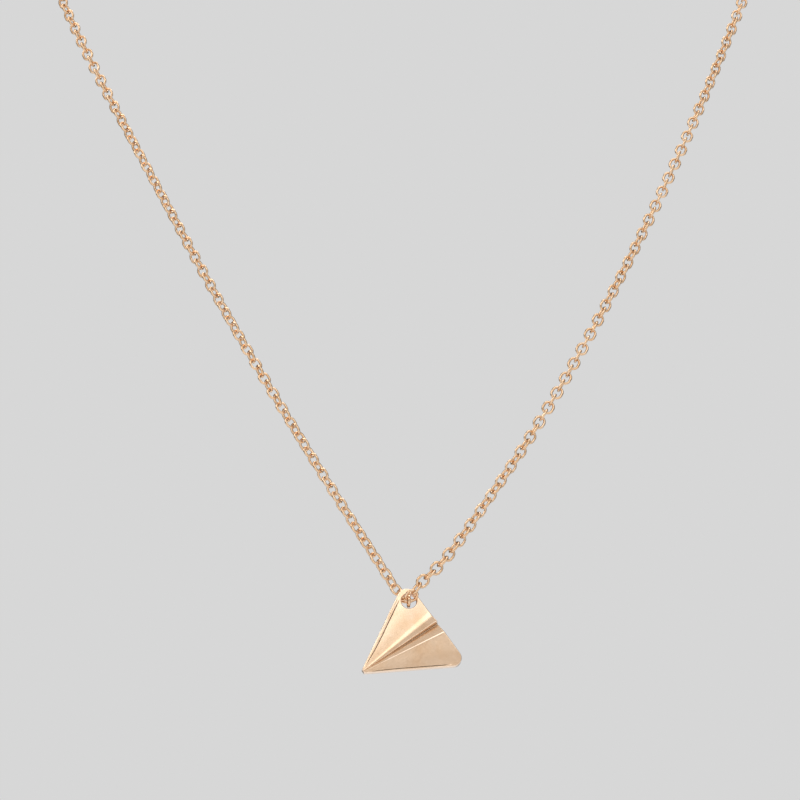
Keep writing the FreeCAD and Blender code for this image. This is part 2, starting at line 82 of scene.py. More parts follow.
LEFT_SEED, RIGHT_SEED = 4, 5                   # of the links' tones
LEAST_LINK_FACES = 60

# The pendant's own axes in the row frame: X nose to tail, Y to the upper wing tip, Z its front.
PENDANT_FRAME = Matrix((
    (0.807422, -0.583502, 0.087156, -0.00584051),
    (0.070640, -0.051050, -0.996195, -0.00088741),
    (0.585731, 0.810506, 0.0, -0.181222),
    (0.0, 0.0, 0.0, 1.0),
))


# --- settings ---------------------------------------------------------------------------------
class ChainSettings(PropertyGroup):
    """Sizes of the cable chain's links."""

    link_length: FloatProperty(
        name="Link length", description="Outside length of one link", default=1.90 * MM,
        min=1.0 * MM, max=6.0 * MM, subtype="DISTANCE", unit="LENGTH", precision=5)
    link_width: FloatProperty(
        name="Link width", description="Outside width of one link", default=1.62 * MM,
        min=0.8 * MM, max=6.0 * MM, subtype="DISTANCE", unit="LENGTH", precision=5)
    wire: FloatProperty(
        name="Wire", description="Thickness of a link's wire", default=0.34 * MM,
        min=0.1 * MM, max=1.0 * MM, subtype="DISTANCE", unit="LENGTH", precision=5)
    first_turn: FloatProperty(
        name="First turn", description="Turn that a strand takes over from its hanger link",
        default=math.radians(32.5), subtype="ANGLE", unit="ROTATION")
    waver: FloatProperty(
        name="Waver", description="How far a strand turns to and fro along its length",
        default=math.radians(34.0), subtype="ANGLE", unit="ROTATION")
    waves: IntProperty(
        name="Waves", description="How often a strand turns to and fro", default=6, min=0, max=40)
    settle: FloatProperty(
        name="Settle", description="Links over which a strand loses its first turn",
        default=9.0, min=1.0, max=60.0)


class PendantSettings(PropertyGroup):
    """The folded dart's rounded edges and its hems."""

    edge: FloatProperty(
        name="Edge", description="Radius of the polished edge round the pendant",
        default=0.11 * MM, min=0.02 * MM, max=0.17 * MM, subtype="DISTANCE", unit="LENGTH",
        precision=5)
    hem: FloatProperty(
        name="Hem", description="Width of the sloping hem along the upper leading edge",
        default=0.40 * MM, min=0.1 * MM, max=1.0 * MM, subtype="DISTANCE", unit="LENGTH",
        precision=5)
    low_hem: FloatProperty(
        name="Lower hem", description="Width of the hem along the lower leading edge",
        default=0.17 * MM, min=0.1 * MM, max=1.0 * MM, subtype="DISTANCE", unit="LENGTH",
        precision=5)
    hem_slope: FloatProperty(
        name="Hem slope", description="How far the hems slope towards their edges",
        default=math.radians(13.0), subtype="ANGLE", unit="ROTATION")
    crown: FloatProperty(
        name="Crown", description="How far the wings bulge at the tail", default=0.03 * MM,
        min=0.0, max=0.2 * MM, subtype="DISTANCE", unit="LENGTH", precision=5)


class EdgeSettings(PropertyGroup):
    """How far the clasp's edges are rounded."""

    grain: FloatProperty(
        name="Grain", description="Size of the clasp's mesh faces", default=0.07 * MM,
        min=0.04 * MM, max=0.3 * MM, subtype="DISTANCE", unit="LENGTH", precision=5)
    clasp: IntProperty(
        name="Clasp edge", description="Rounds of smoothing on the clasp", default=18, min=0,
        max=60)
    trigger: IntProperty(
        name="Trigger edge", description="Rounds of smoothing on the trigger", default=4, min=0,
        max=20)


class MetalSettings(PropertyGroup):
    """Colours of the metals."""

    plate: FloatVectorProperty(
        name="Rose-gold plate", description="Colour of the pendant and the end drop",
        default=(0.90, 0.66, 0.47), size=3, min=0.0, max=1.0, subtype="COLOR")
    chain: FloatVectorProperty(
        name="Chain gold", description="Colour of the links and rings",
        default=(0.88, 0.64, 0.44), size=3, min=0.0, max=1.0, subtype="COLOR")
    clasp: FloatVectorProperty(
        name="Clasp gold", description="Colour of the clasp and its trigger",
        default=(0.86, 0.60, 0.36), size=3, min=0.0, max=1.0, subtype="COLOR")
    steel: FloatVectorProperty(
        name="Spring steel", description="Colour of the clasp's pin and spring",
        default=(0.62, 0.61, 0.60), size=3, min=0.0, max=1.0, subtype="COLOR")


class StudioSettings(PropertyGroup):
    """Floor, light and camera."""

    floor_level: FloatProperty(
        name="Floor level", description="Height of the floor under the top of the necklace",
        default=-0.34, subtype="DISTANCE", unit="LENGTH")
    backdrop: FloatVectorProperty(
        name="Backdrop", description="Colour of the floor and of the air behind the necklace",
        default=(0.68, 0.68, 0.68), size=3, min=0.0, max=1.0, subtype="COLOR")
    room_light: FloatProperty(
        name="Room light", description="How light the room in front is in the metal's mirror",
        default=0.68, min=0.0, max=5.0)
    room_dim: FloatProperty(
        name="Room dim", description="How light the room behind is in the metal's mirror",
        default=0.15, min=0.0, max=5.0)
    lens: FloatProperty(
        name="Lens", description="Focal length of the camera", default=90.0, min=20.0, max=200.0,
        subtype="DISTANCE_CAMERA", unit="CAMERA")
    camera_tilt: FloatProperty(
        name="Camera tilt", description="How far the camera looks up", default=math.radians(24.0),
        subtype="ANGLE", unit="ROTATION")
    camera_distance: FloatProperty(
        name="Camera distance", description="From the camera to the plane of the necklace",
        default=0.2551, subtype="DISTANCE", unit="LENGTH")
    key_power: FloatProperty(
        name="Key light", description="Power of the large light in front", default=1.1, min=0.0,
        subtype="POWER", unit="POWER")
    fill_power: FloatProperty(
        name="Fill light", description="Power of the light from the left", default=2.0, min=0.0,
        subtype="POWER", unit="POWER")


# --- metals -----------------------------------------------------------------------------------
def add_node(tree, kind, **values):
    """A node whose properties and inputs are set by name; an input may be another's output."""
    node = tree.nodes.new(kind)
    for name, value in values.items():
        if hasattr(node, name):
            setattr(node, name, value)
            continue
        key = int(name[2:]) if name.startswith("in") and name[2:].isdigit() else (
            name.replace("_", " ").strip())
        socket = node.inputs[key]
        if isinstance(value, bpy.types.NodeSocket):
            tree.links.new(value, socket)
        else:
            socket.default_value = value
    return node


def math_node(tree, operation, first, second=0.0, clamp=False):
    """The output of a math node; each input is a number or another node's output."""
    node = tree.nodes.new("ShaderNodeMath")
    node.operation = operation
    node.use_clamp = clamp
    for socket, value in zip(node.inputs, (first, second)):
        if isinstance(value, bpy.types.NodeSocket):
            tree.links.new(value, socket)
        else:
            socket.default_value = value
    return node.outputs[0]


def mix_colour(tree, mask, first, second):
    """The output of a colour mix: the first colour where the mask is 0, the second where 1."""
    node = tree.nodes.new("ShaderNodeMix")
    node.data_type = "RGBA"
    for index, value in ((0, mask), (6, first), (7, second)):
        if isinstance(value, bpy.types.NodeSocket):
            tree.links.new(value, node.inputs[index])
        else:
            node.inputs[index].default_value = value
    return node.outputs[2]


def polish_group():
    """Fine polishing marks, cloudy tarnish and soft dents, for every metal."""
    found = bpy.data.node_groups.get("Polished metal wear")
    if found:
        return found
    tree = bpy.data.node_groups.new("Polished metal wear", "ShaderNodeTree")
    face = tree.interface
    for name, default in (("Mark size", 0.05), ("Mark strength", 0.3), ("Cloud size", 2.0),
                          ("Dent size", 1.2), ("Dent depth", 0.1)):
        socket = face.new_socket(name, in_out="INPUT", socket_type="NodeSocketFloat")
        socket.default_value = default
    face.new_socket("Marks", in_out="OUTPUT", socket_type="NodeSocketFloat")
    face.new_socket("Clouds", in_out="OUTPUT", socket_type="NodeSocketFloat")
    face.new_socket("Normal", in_out="OUTPUT", socket_type="NodeSocketVector")
    given = tree.nodes.new("NodeGroupInput").outputs
    place = tree.nodes.new("ShaderNodeTexCoord").outputs["Object"]
    in_mm = add_node(tree, "ShaderNodeVectorMath", operation="SCALE", in0=place, Scale=1000.0)
    in_mm = in_mm.outputs[0]
    # marks: long thin noise in two directions, crossed
    marks = []
    for turn, stretch in (((0.3, 0.9, 0.2), (1.0, 14.0, 1.0)),
                          ((1.1, 0.2, 0.7), (11.0, 1.0, 1.0))):
        turned = add_node(tree, "ShaderNodeMapping", Vector=in_mm, Rotation=turn, Scale=stretch)
        size = math_node(tree, "DIVIDE", 0.1, given["Mark size"])
        noise = add_node(tree, "ShaderNodeTexNoise", Vector=turned.outputs[0], Scale=size,
                         Detail=2.0, Roughness=0.55)
        marks.append(noise.outputs[0])
    crossed = math_node(tree, "MULTIPLY", math_node(tree, "ADD", *marks), 0.5)
    cloud_scale = math_node(tree, "DIVIDE", 1.0, given["Cloud size"])
    clouds = add_node(tree, "ShaderNodeTexNoise", Vector=in_mm, Scale=cloud_scale, Detail=3.0,
                      Roughness=0.6)
    dent_scale = math_node(tree, "DIVIDE", 1.0, given["Dent size"])
    dents = add_node(tree, "ShaderNodeTexNoise", Vector=in_mm, Scale=dent_scale, Detail=1.0)
    fine = math_node(tree, "MULTIPLY", crossed, given["Mark strength"])
    coarse = math_node(tree, "MULTIPLY", dents.outputs[0], given["Dent depth"])
    height = math_node(tree, "ADD", math_node(tree, "MULTIPLY", fine, 0.02), coarse)
    bump = add_node(tree, "ShaderNodeBump", Strength=0.6, Distance=0.0001, Height=height)
    done = tree.nodes.new("NodeGroupOutput")
    tree.links.new(crossed, done.inputs["Marks"])
    tree.links.new(clouds.outputs[0], done.inputs["Clouds"])
    tree.links.new(bump.outputs[0], done.inputs["Normal"])
    return tree


def metal(name, colour, rough, deeper, wear_and_highlight=0.35, **wear):
    """A polished metal: base colour with cloudy tarnish, marks in its gloss, pale edges where the
    mesh has a "wear_and_highlight" attribute (partly wear, partly a painted highlight) and
    painted shade, nearly black, where it has a "shaded_recess" one."""
    found = bpy.data.materials.get(name)
    if found:
        return found
    material = bpy.data.materials.new(name)
    material.use_nodes = True
    tree = material.node_tree
    tree.nodes.clear()
    polish = tree.nodes.new("ShaderNodeGroup")
    polish.node_tree = polish_group()
    for key, value in wear.items():
        polish.inputs[key.replace("_", " ").capitalize()].default_value = value
    base = (*colour, 1.0)
    dark = (*[c * d for c, d in zip(colour, deeper)], 1.0)
    # pale edge colour: partly wear, partly a painted highlight
    pale = (*[c + (1.0 - c) * wear_and_highlight for c in colour], 1.0)
    # nearly black: painted shade for the scored lines and the fold floor
    painted_shade = (*[c * 0.16 for c in colour], 1.0)
    cloud = add_node(tree, "ShaderNodeMapRange", Value=polish.outputs["Clouds"], From_Min=0.40,
                     From_Max=0.68)
    toned = mix_colour(tree, cloud.outputs[0], base, dark)
    edge = add_node(tree, "ShaderNodeAttribute", attribute_name="wear_and_highlight").outputs["Fac"]
    edge = math_node(tree, "MULTIPLY", edge, math_node(
        tree, "ADD", 0.35, polish.outputs["Marks"]), clamp=True)
    toned = mix_colour(tree, edge, toned, pale)
    # scored lines and the fold floor darkened by painted shade
    low = add_node(tree, "ShaderNodeAttribute", attribute_name="shaded_recess").outputs["Fac"]
    toned = mix_colour(tree, low, toned, painted_shade)
    tone = add_node(tree, "ShaderNodeAttribute", attribute_name="tone").outputs["Fac"]
    toned = mix_colour(tree, math_node(tree, "MULTIPLY", tone, 0.5), toned, dark)
    gloss = add_node(tree, "ShaderNodeMapRange", Value=polish.outputs["Marks"], From_Min=0.30,
                     From_Max=0.70, To_Min=rough * 0.72, To_Max=rough * 1.35)
    gloss = math_node(tree, "ADD", gloss.outputs[0], math_node(tree, "MULTIPLY", low, 0.35))
    shader = add_node(tree, "ShaderNodeBsdfPrincipled", Base_Color=toned, Metallic=1.0,
                      Roughness=gloss, Normal=polish.outputs["Normal"])
    done = tree.nodes.new("ShaderNodeOutputMaterial")
    tree.links.new(shader.outputs[0], done.inputs[0])
    return material


def plate_metal():
    colours = bpy.context.scene.necklace_metals
    return metal("polished_rose_gold", colours.plate, 0.20, (0.93, 0.86, 0.78), mark_size=0.05,
                 mark_strength=0.5, cloud_size=2.2, dent_size=1.6, dent_depth=0.05)


def chain_metal():
    colours = bpy.context.scene.necklace_metals
    return metal("drawn_link_gold", colours.chain, 0.18, (0.90, 0.80, 0.68), mark_size=0.03,
                 mark_strength=0.4, cloud_size=0.9, dent_size=0.5, dent_depth=0.05)


def clasp_metal():
    colours = bpy.context.scene.necklace_metals
    return metal("cast_clasp_gold", colours.clasp, 0.24, (0.90, 0.80, 0.66), mark_size=0.06,
                 mark_strength=0.9, cloud_size=1.1, dent_size=0.45, dent_depth=0.12)


def steel_metal():
    colours = bpy.context.scene.necklace_metals
    return metal("brushed_spring_steel", colours.steel, 0.30, (0.82, 0.80, 0.78), mark_size=0.03,
                 mark_strength=0.8, cloud_size=0.6, dent_size=0.4, dent_depth=0.05)


# --- chain strands ----------------------------------------------------------------------------
def strand_line(name, route):
    """The strand's smooth line: a NURBS curve with the route's points."""
    data = bpy.data.curves.new(name, "CURVE")
    data.dimensions = "3D"
    data.resolution_u = CHAIN_LINE_POINTS
    spline = data.splines.new("NURBS")
    spline.points.add(len(route) - 1)
    for point, place in zip(spline.points, route):
        point.co = (*mm(*place), 1.0)
    spline.order_u = 3
    spline.use_endpoint_u = True
    line = bpy.data.objects.new(name, data)
    bpy.context.scene.collection.objects.link(line)
    return line


def points_of(line):
    """The points along a curve object, in order."""
    bpy.context.view_layer.update()
    evaluated = line.evaluated_get(bpy.context.evaluated_depsgraph_get())
    mesh = bpy.data.meshes.new_from_object(evaluated)
    places = [v.co.copy() for v in mesh.vertices]
    bpy.data.meshes.remove(mesh)
    return places


def link_chain_tree():
    """Geometry Nodes that string oval links along a curve, each a quarter turn from the last."""
    found = bpy.data.node_groups.get("Cable chain")
    if found:
        return found
    tree = bpy.data.node_groups.new("Cable chain", "GeometryNodeTree")
    face = tree.interface
    face.new_socket("Line", in_out="INPUT", socket_type="NodeSocketGeometry")
    for name, kind in (("Links", "Int"), ("Link length", "Float"), ("Link width", "Float"),
                       ("Wire", "Float"), ("First turn", "Float"), ("Extra turn", "Float"),
                       ("Settle", "Float"), ("Waver", "Float"), ("Waves", "Float"),
                       ("Seed", "Int"), ("Metal", "Material")):
        face.new_socket(name, in_out="INPUT", socket_type="NodeSocket" + kind)
    face.new_socket("Chain", in_out="OUTPUT", socket_type="NodeSocketGeometry")
    given = tree.nodes.new("NodeGroupInput").outputs

    # one link: a circle pulled out into an oval, swept by its wire
    half_gap = math_node(tree, "MULTIPLY", math_node(
        tree, "SUBTRACT", given["Link length"], given["Link width"]), 0.5)
    bend = math_node(tree, "MULTIPLY", math_node(
        tree, "SUBTRACT", given["Link width"], given["Wire"]), 0.5)
    circle = add_node(tree, "GeometryNodeCurvePrimitiveCircle", Resolution=14, Radius=bend)
    place = tree.nodes.new("GeometryNodeInputPosition").outputs[0]
    side = add_node(tree, "ShaderNodeSeparateXYZ", Vector=place).outputs[0]
    shift = math_node(tree, "MULTIPLY", math_node(tree, "SIGN", side), half_gap)
    offset = add_node(tree, "ShaderNodeCombineXYZ", X=shift)
    oval = add_node(tree, "GeometryNodeSetPosition", Geometry=circle.outputs[0],
                    Offset=offset.outputs[0])
    section = add_node(tree, "GeometryNodeCurvePrimitiveCircle", Resolution=6,
                       Radius=math_node(tree, "MULTIPLY", given["Wire"], 0.5))
    link = add_node(tree, "GeometryNodeCurveToMesh", Curve=oval.outputs[0],
                    Profile_Curve=section.outputs[0])

    # a point for each link, between two even stops on the line
    number = tree.nodes.new("GeometryNodeInputIndex").outputs[0]
    stops = []
    for ahead in (0.0, 1.0):
        share = math_node(tree, "DIVIDE", math_node(tree, "ADD", number, ahead), given["Links"])
        sample = tree.nodes.new("GeometryNodeSampleCurve")
        sample.mode = "FACTOR"
        tree.links.new(given["Line"], sample.inputs["Curves"])
        tree.links.new(share, sample.inputs["Factor"])
        stops.append(next(o for o in sample.outputs if o.name == "Position" and o.enabled))
    total = add_node(tree, "ShaderNodeVectorMath", operation="ADD", in0=stops[0], in1=stops[1])
    middle = add_node(tree, "ShaderNodeVectorMath", operation="SCALE", in0=total.outputs[0],
                      Scale=0.5)
    along = add_node(tree, "ShaderNodeVectorMath", operation="SUBTRACT", in0=stops[1],
                     in1=stops[0])
    beads = add_node(tree, "GeometryNodePoints", Count=given["Links"], Position=middle.outputs[0])

    # its turn about the line
    last = math_node(tree, "SUBTRACT", given["Links"], 1.0)
    share = math_node(tree, "DIVIDE", number, last)
    quarter = math_node(tree, "MULTIPLY", math_node(tree, "ADD", number, 1.0), math.pi / 2)
    slow = math_node(tree, "MULTIPLY", share, given["Extra turn"])
    fade = math_node(tree, "EXPONENT", math_node(
        tree, "MULTIPLY", math_node(tree, "DIVIDE", number, given["Settle"]), -1.0))
    first = math_node(tree, "MULTIPLY", fade, given["First turn"])
    swing = math_node(tree, "SINE", math_node(
        tree, "MULTIPLY", math_node(tree, "MULTIPLY", share, given["Waves"]), math.pi))
    waver = math_node(tree, "MULTIPLY", math_node(tree, "POWER", math_node(
        tree, "ABSOLUTE", swing), 2.0), given["Waver"])
    turn = math_node(tree, "ADD", math_node(tree, "ADD", quarter, slow),
                     math_node(tree, "ADD", first, waver))
    facing = tree.nodes.new("FunctionNodeAxesToRotation")
    facing.primary_axis, facing.secondary_axis = "X", "Z"
    tree.links.new(along.outputs[0], facing.inputs[0])
    facing.inputs[1].default_value = (0.0, 1.0, 0.0)
    roll = add_node(tree, "FunctionNodeAxisAngleToRotation", Axis=(1.0, 0.0, 0.0), Angle=turn)
    rolled = tree.nodes.new("FunctionNodeRotateRotation")
    rolled.rotation_space = "LOCAL"
    tree.links.new(facing.outputs[0], rolled.inputs[0])
    tree.links.new(roll.outputs[0], rolled.inputs[1])
    placed = add_node(tree, "GeometryNodeInstanceOnPoints", Points=beads.outputs[0],
                      Instance=link.outputs[0], Rotation=rolled.outputs[0])

    # each link takes its own tone
    chance = tree.nodes.new("FunctionNodeRandomValue")
    chance.data_type = "FLOAT"
    tree.links.new(given["Seed"], chance.inputs["Seed"])
    value = next(o for o in chance.outputs if o.enabled)
    store = tree.nodes.new("GeometryNodeStoreNamedAttribute")
    store.data_type, store.domain = "FLOAT", "INSTANCE"
    tree.links.new(placed.outputs[0], store.inputs["Geometry"])
    store.inputs["Name"].default_value = "tone"
    tree.links.new(value, next(i for i in store.inputs if i.name == "Value" and i.enabled))
    real = add_node(tree, "GeometryNodeRealizeInstances", Geometry=store.outputs[0])
    smooth = add_node(tree, "GeometryNodeSetShadeSmooth", in0=real.outputs[0])
    coated = add_node(tree, "GeometryNodeSetMaterial", Geometry=smooth.outputs[0])
    tree.links.new(given["Metal"], coated.inputs["Material"])
    done = tree.nodes.new("NodeGroupOutput")
    tree.links.new(coated.outputs[0], done.inputs[0])
    return tree


def baked(obj, name):
    """A plain mesh object of what an object's modifiers make; the object itself goes."""
    bpy.context.view_layer.update()
    mesh = bpy.data.meshes.new_from_object(
        obj.evaluated_get(bpy.context.evaluated_depsgraph_get()))
    mesh.name = name
    plain = bpy.data.objects.new(name, mesh)
    bpy.context.scene.collection.objects.link(plain)
    bpy.data.objects.remove(obj)
    return plain


def string_links(name, route, links, extra_turn, seed):
    """One strand of the chain, and the points of the line it follows."""
    sizes = bpy.context.scene.necklace_chain
    line = strand_line(name + "_line", route)
    path = points_of(line)
    modifier = line.modifiers.new("links", "NODES")
    modifier.node_group = link_chain_tree()
    values = {"Links": links, "Link length": sizes.link_length, "Link width": sizes.link_width,
              "Wire": sizes.wire, "First turn": sizes.first_turn, "Extra turn": extra_turn,
              "Settle": sizes.settle, "Waver": sizes.waver, "Waves": float(sizes.waves),
              "Seed": seed, "Metal": chain_metal()}
    for item in modifier.node_group.interface.items_tree:
        if item.in_out == "INPUT" and item.name in values:
            modifier[item.identifier] = values[item.name]
    strand = baked(line, name)
    if len(strand.data.polygons) < LEAST_LINK_FACES * links:
        raise RuntimeError(f"{name} has only {len(strand.data.polygons)} faces")
    return strand, path


class NECKLACE_OT_strands(Operator):
    """Strings the two strands of fine links from the pendant up to the clasp"""

    bl_idname = "necklace.strands"
    bl_label = "Chain strands"

    def execute(self, context):
        for side, route, links, length, extra, seed, far in (
                ("left", LEFT_ROUTE, LEFT_LINKS, LEFT_LENGTH, LEFT_EXTRA, LEFT_SEED,
                 ["left_end_ring", "clasp_body"]),
                ("right", RIGHT_ROUTE, RIGHT_LINKS, RIGHT_LENGTH, RIGHT_EXTRA, RIGHT_SEED,
                 ["right_end_ring", "catch_ring"])):
            strand, path = string_links(f"{side}_strand", route, links, extra, seed)
            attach(strand, "necklace")
            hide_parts(*[f"{side}_chain_{i}" for i in range(1, 5)])
        return {"FINISHED"}


# --- cast and wire pieces ---------------------------------------------------------------------
def cast_copy(node, name, grain, rounds, material):
    """A copy of a CAD node with its edges rounded as in a polished casting: remeshed evenly and
    smoothed. The smoothing moves only the edges, and how far gives the "wear_and_highlight"
    attribute, which paints the edges pale: partly wear, partly a painted highlight."""
    blank = bpy.data.objects.new(f"{name}_blank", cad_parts[node].data.copy())
    bpy.context.scene.collection.objects.link(blank)
    blank.data.transform(Matrix.Scale(1.0 / MM, 4))
    even = blank.modifiers.new("even", "REMESH")
    even.mode = "VOXEL"
    even.voxel_size = grain / MM
    piece = baked(blank, name)
    bm = bmesh.new()
    bm.from_mesh(piece.data)
    before = [vert.co.copy() for vert in bm.verts]
    for _ in range(rounds):
        bmesh.ops.smooth_vert(bm, verts=bm.verts, factor=0.5, use_axis_x=True, use_axis_y=True,
                              use_axis_z=True)
    wear_and_highlight = bm.verts.layers.float.new("wear_and_highlight")
    # where smoothing moves the surface most, the edges are painted pale: partly wear, partly a
    # painted highlight
    for vert, start in zip(bm.verts, before):
        vert[wear_and_highlight] = min(1.0, max(0.0, (vert.co - start).length * MM / (0.5 * grain) - 0.25))
        vert.co *= MM
    for face in bm.faces:
        face.material_index = 0
        face.smooth = True
    bm.to_mesh(piece.data)
    bm.free()
    piece.data.materials.clear()
    piece.data.materials.append(material)
    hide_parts(node)
    return piece


def coat(node, material):
    """Gives a CAD node its metal."""
    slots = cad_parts[node].data.materials
    slots.clear()
    slots.append(material)


# --- pendant ----------------------------------------------------------------------------------
# The dart in millimetres, in its own axes. A section's heights grow with its distance from the
# nose, so its folds are lines through the nose, given by their side and height at the tail.
DART_LONG, DART_HALF, DART_SHEET, NOSE_CUT = 11.45, 6.60, 0.75, 0.45
CORNER_RADII = (0.18, 0.18, 1.05, 1.25)       # nose twice, lower corner, tab
HOLE_AT, HOLE_RADIUS = Vector((10.18, 4.0212)), 0.94
FRONT_FOLDS = [                                # side, height, half width of the soft bend
    (-6.6, 0.0, 0.0), (-1.58, 0.24, 0.09), (-0.24, -0.26, 0.05), (0.0, 0.45, 0.06),
    (1.12, 0.0, 0.50), (6.6, 0.0, 0.0)]
BACK_FOLDS = [
    (-6.6, 0.0, 0.0), (-1.54, 0.0, 0.35), (-0.24, -0.42, 0.14), (1.06, 0.0, 0.35),
    (6.6, 0.0, 0.0)]
HEM_SCORE = 0.13                               # width of the line scored inside a hem
HEM_SCORE_DEPTH = 0.11
HEM_FROM, HEM_TO = 1.0, {1: 9.3, -1: 9.8}      # where the hems begin and end, from the nose
HEM_TAPER = 3.4                                # they narrow to the nose from here
HEM_RISE, HEM_FADE = 0.8, 0.9                  # lengths over which a hem begins and ends
CROWN_SIDES = {1: (1.62, 6.6), -1: (-6.6, -1.67)}      # the flat part of each wing
CRESTS = ((0.0, 0.06), (-1.58, 0.09))          # fold tops painted pale as a highlight: side and half width
# a fold floor beside the middle crest painted dark as shade: its side, half width and how dark
FOLD_FLOOR, FLOOR_WIDTH, FLOOR_SHADE = -0.20, 0.12, 0.75
FLAT_WEIGHT = 60                               # how far the large faces lead the shading
GUARD = 0.03                                   # lines that keep a bend's shading off the flats


def soft_fold(folds, side):
    """Height of a folded section at a side, with each fold drawn out into a soft bend."""
    for (a, b, c) in zip(folds, folds[1:], folds[2:]):
        if b[2] and abs(side - b[0]) < b[2]:
            t = (side - b[0] + b[2]) / (2 * b[2])
            before = b[1] + (a[1] - b[1]) * b[2] / (b[0] - a[0])
            after = b[1] + (c[1] - b[1]) * b[2] / (c[0] - b[0])
            return (1 - t) ** 2 * before + 2 * t * (1 - t) * b[1] + t * t * after
    for a, b in zip(folds, folds[1:]):
        if side <= b[0]:
            return a[1] + (b[1] - a[1]) * (side - a[0]) / (b[0] - a[0])
    return folds[-1][1]


def smooth_step(low, high, value):
    t = min(max((value - low) / (high - low), 0.0), 1.0)
    return t * t * (3 - 2 * t)


def dart_corners(inset):
    """The dart's four corners, counter-clockwise, with its edges moved in."""
    rise = DART_HALF / DART_LONG
    lean = math.hypot(1.0, rise)
    nose, tail = NOSE_CUT + inset, DART_LONG - inset
    return [Vector((x, side * (x * rise - inset * lean)))
            for x, side in ((nose, 1), (nose, -1), (tail, -1), (tail, 1))]


def rounded_outline(inset, steps=14):
    """The dart's outline moved in, its corners rounded."""
    corners, outline = dart_corners(inset), []
    for i, radius in enumerate(CORNER_RADII):
        here, radius = corners[i], radius - inset
        into = (here - corners[i - 1]).normalized()
        out = (corners[(i + 1) % 4] - here).normalized()
        turn = into.angle(out)
        start = here - into * radius * math.tan(turn / 2)
        centre = start + Vector((-into.y, into.x)) * radius
        for step in range(steps + 1):
            a = turn * step / steps
            arm = start - centre
            outline.append(centre + Vector((arm.x * math.cos(a) - arm.y * math.sin(a),
                                            arm.x * math.sin(a) + arm.y * math.cos(a))))
    return outline


def edge_distances(place):
    """How far a place is in from each side of the dart: nose, lower edge, tail, upper edge."""
    rise = DART_HALF / DART_LONG
    lean = math.hypot(1.0, rise)
    return (place.x - NOSE_CUT, (place.x * rise + place.y) / lean, DART_LONG - place.x,
            (place.x * rise - place.y) / lean)


def edge_depth(place):
    """How far a place is in from the rounded outline or from the hole's edge."""
    depth = min(edge_distances(place))
    corners = dart_corners(0.0)
    for i, radius in enumerate(CORNER_RADII):
        into = (corners[i] - corners[i - 1]).normalized()
        out = (corners[(i + 1) % 4] - corners[i]).normalized()
        centre = corners[i] + (out - into).normalized() * radius / math.cos(into.angle(out) / 2)
        arm = place - centre
        if arm.dot(into) > 0 and arm.dot(out) < 0:
            depth = min(depth, radius - arm.length)
    return max(0.0, min(depth, (place - HOLE_AT).length - HOLE_RADIUS))


def hem_place(share, along, side):
    """A place on a line beside a leading edge; share is its distance from the edge there."""
    rise = DART_HALF / DART_LONG
    width = share * smooth_step(-HEM_TAPER, HEM_TAPER, along - HEM_TAPER * 0.4)
    return Vector((along, side * (along * rise - width * math.hypot(1.0, rise))))


def hem_shape(place, side, width, slope):
    """(drop, painted shade) that a hem and its scored line make at a place: the scored line is
    painted dark as shade.
    """
    taper = smooth_step(-HEM_TAPER, HEM_TAPER, place.x - HEM_TAPER * 0.4)
    share = edge_distances(place)[3 if side > 0 else 1] / max(taper, 1e-3)
    there = (smooth_step(HEM_FROM, HEM_FROM + HEM_RISE, place.x)
             * (1.0 - smooth_step(HEM_TO[side] - HEM_FADE, HEM_TO[side], place.x)))
    if share < width:
        return there * taper * (width - share) * math.tan(slope), 0.0
    middle = width + HEM_SCORE / 2
    cut = max(0.0, 1.0 - abs(share - middle) / (HEM_SCORE / 2))
    return there * cut * HEM_SCORE_DEPTH, there * min(1.0, 1.6 * cut)


def dart_plan(edge, hems):
    """A flat triangulation of the dart whose edges follow its outline, hole, folds and hems."""
    places, lines = [], []

    def add_line(points, closed=False):
        first = len(places)
        places.extend(points)
        lines.extend((i, i + 1) for i in range(first, len(places) - 1))
        if closed:
            lines.append((len(places) - 1, first))

    for share in (0.0, 0.06, 0.2, 0.45, 0.75, 1.0, 1.3):
        add_line(rounded_outline(edge * share), True)
        radius = HOLE_RADIUS + edge * share
        add_line([HOLE_AT + Vector((math.cos(a), math.sin(a))) * radius
                  for a in (math.tau * i / 56 for i in range(56))], True)
    sides = {2.2, 3.0, 3.8, 4.6, 5.4, 6.1, -2.3, -3.1, -3.9, -4.7, -5.5, -6.2}
    for folds in (FRONT_FOLDS, BACK_FOLDS):
        for side, _, soft in folds[1:-1]:
            sides.update(round(side + soft * share, 4) for share in (-1, -0.6, -0.2, 0.2, 0.6, 1))
            sides.update((round(side - soft - GUARD, 4), round(side + soft + GUARD, 4)))
    for side in sorted(sides):
        ray = Vector((1.0, side / DART_LONG))
        add_line([ray * along for along in (0.40, 1.2, 2.4, 4.0, 6.0, 8.0, 10.0, 11.6)])
    for side, width in hems:
        shares = (width * 0.5, width - 0.02, width, width + HEM_SCORE * 0.25,
                  width + HEM_SCORE * 0.5, width + HEM_SCORE * 0.75, width + HEM_SCORE,
                  width + HEM_SCORE + GUARD)
        for share in shares:
            add_line([hem_place(share, HEM_FROM + (HEM_TO[side] - HEM_FROM) * i / 40, side)
                      for i in range(41)])
    flat, _, faces, *_ = delaunay_2d_cdt(places, lines, [], 0, 1e-5)
    kept = []
    for face in faces:
        middle = sum((flat[i] for i in face), Vector((0.0, 0.0))) / len(face)
        if min(edge_distances(middle)) > 0 and edge_depth(middle) > 1e-6:
            kept.append(face)
    return flat, kept


